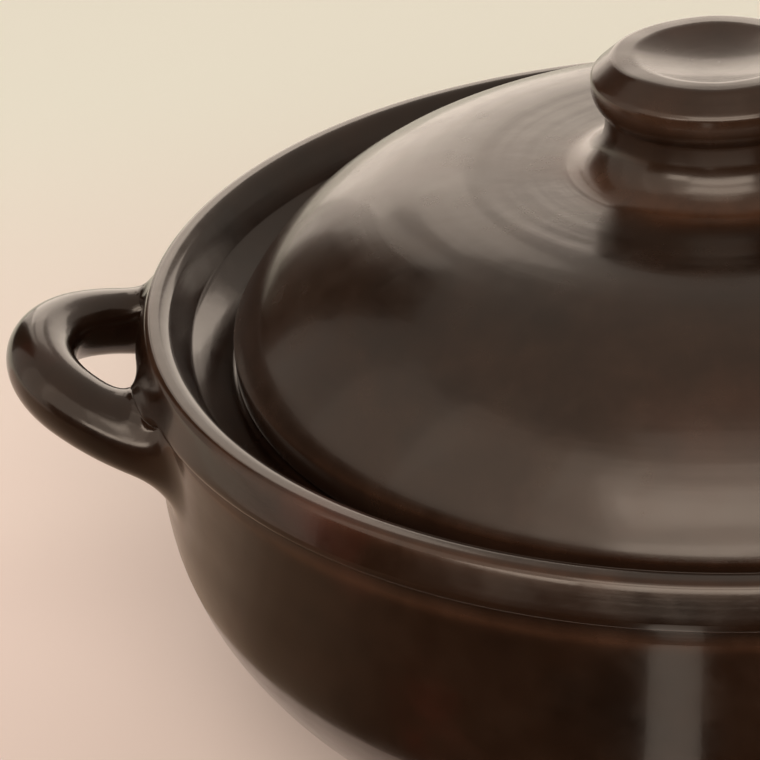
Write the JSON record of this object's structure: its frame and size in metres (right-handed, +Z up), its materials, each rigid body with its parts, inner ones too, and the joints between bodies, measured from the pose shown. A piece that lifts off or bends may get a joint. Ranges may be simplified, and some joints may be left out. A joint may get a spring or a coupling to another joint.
{
  "type": "stew pot",
  "caption": "Round glazed earthenware stew pot with a rolled rim, two loop handles and a domed lid with a dished knob.",
  "frame": {"origin": "centre of the foot ring on the table, at the bottom centre of the bounding box", "axes": "+Z up along the pot's axis, +X through the right handle, -Y towards the front"},
  "size_m": [0.3172, 0.26, 0.1487],
  "materials": {
    "pot_glaze": "glossy dark brown glaze",
    "lid_glaze": "glossy dark brown glaze"
  },
  "bodies": {
    "root": {"pot": "pot_glaze", "lid": "lid_glaze"}
  },
  "joints": []
}
